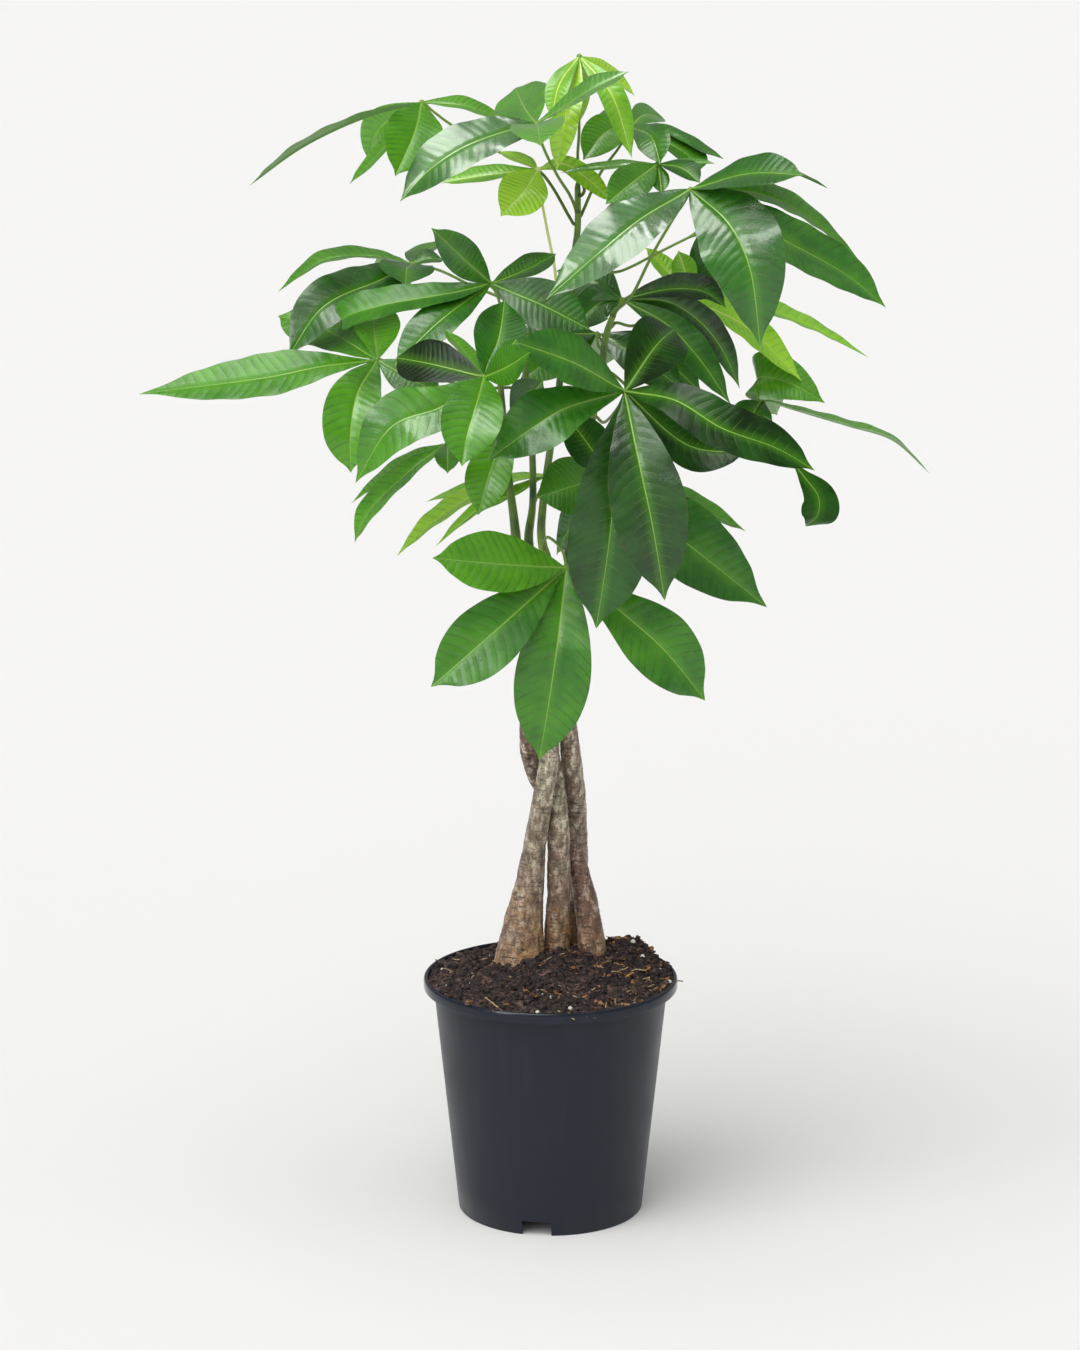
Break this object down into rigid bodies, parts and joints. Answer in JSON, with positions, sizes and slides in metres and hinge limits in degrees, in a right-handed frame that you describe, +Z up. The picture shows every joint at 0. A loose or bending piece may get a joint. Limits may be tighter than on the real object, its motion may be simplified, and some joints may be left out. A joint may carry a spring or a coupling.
{
  "type": "potted money tree",
  "caption": "Indoor tree with slender braided trunks and hand-shaped compound leaves, standing in mounded soil in a round tapered plant pot.",
  "frame": {"origin": "middle of the pot's flat base, on the surface it stands on", "axes": "+Z up along the pot's axis, +X to the viewer's right, -Y towards the viewer of the picture"},
  "size_m": [0.6168, 0.484, 0.909],
  "materials": {
    "pot": "satin blue-black moulded polypropylene",
    "soil": "rough damp peat and bark potting mix",
    "trunk": "grey-brown bark with fine cross marks, turning green above the braid",
    "leaf": "satin leathery green leaf with pale veins",
    "young_leaf": "soft glossy yellow-green young leaf"
  },
  "bodies": {
    "root": {"pot": "pot", "soil": "soil", "trunk_1": "trunk", "trunk_2": "trunk", "trunk_3": "trunk", "trunk_4": "trunk", "leaf_right_top": "leaf", "leaf_right_front": "leaf", "leaf_low_front": "leaf", "leaf_left_wide": "leaf", "leaf_left_mid": "leaf", "leaf_centre_front": "leaf", "leaf_young_light": "young_leaf", "leaf_top_gloss": "leaf", "leaf_top_left": "leaf", "leaf_top_bud": "young_leaf", "leaf_top_right": "leaf", "leaf_top_small": "leaf", "leaf_right_inner": "leaf", "leaf_right_back": "young_leaf", "leaf_right_far": "leaf", "leaf_left_low": "leaf", "leaf_left_thin": "leaf", "leaf_centre_low": "leaf", "leaf_under_front": "leaf", "leaf_left_back": "leaf", "leaf_centre_back": "leaf", "leaf_right_hidden": "leaf"}
  },
  "joints": []
}
